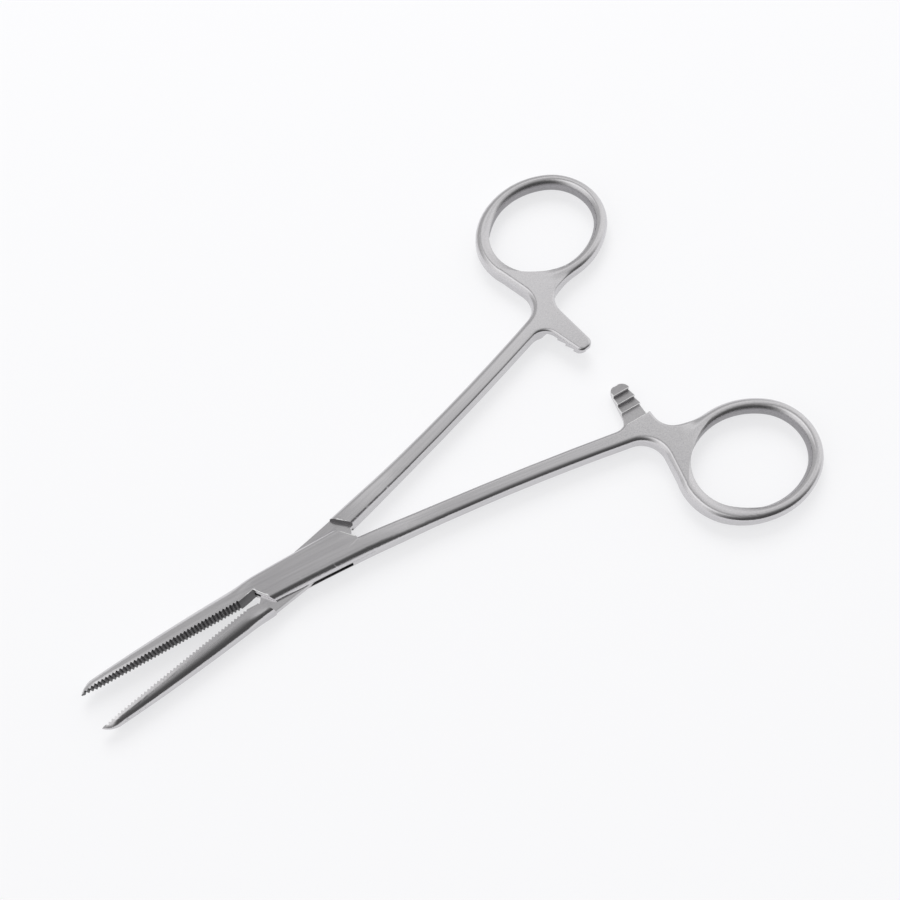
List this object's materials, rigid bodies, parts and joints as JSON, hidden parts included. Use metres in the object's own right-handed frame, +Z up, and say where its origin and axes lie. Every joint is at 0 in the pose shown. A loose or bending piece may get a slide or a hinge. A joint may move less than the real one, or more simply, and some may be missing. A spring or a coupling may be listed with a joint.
{
  "type": "hemostat forceps",
  "caption": "Ring-handled locking forceps with a box-lock pivot, straight jaws serrated across their full length and a toothed ratchet between the shanks.",
  "frame": {"origin": "foot of the pivot's axis on the plane that the forceps lie on", "axes": "+X from the pivot towards the finger rings along the middle of the opening angle, +Z up out of the resting plane along the pivot"},
  "size_m": [0.1525, 0.0972, 0.005],
  "materials": {
    "satin_steel": "satin, brushed along the length"
  },
  "bodies": {
    "box_body": {"box_half": "satin_steel", "pivot_pin": "satin_steel"},
    "tongue_body": {"tongue_half": "satin_steel"}
  },
  "joints": [
    {"name": "box_lock", "type": "hinge", "parent": "box_body", "child": "tongue_body", "pos_m": [0, 0, 0.0025], "axis": [0, 0, 1], "range_deg": [-9.2, 40.5]}
  ]
}
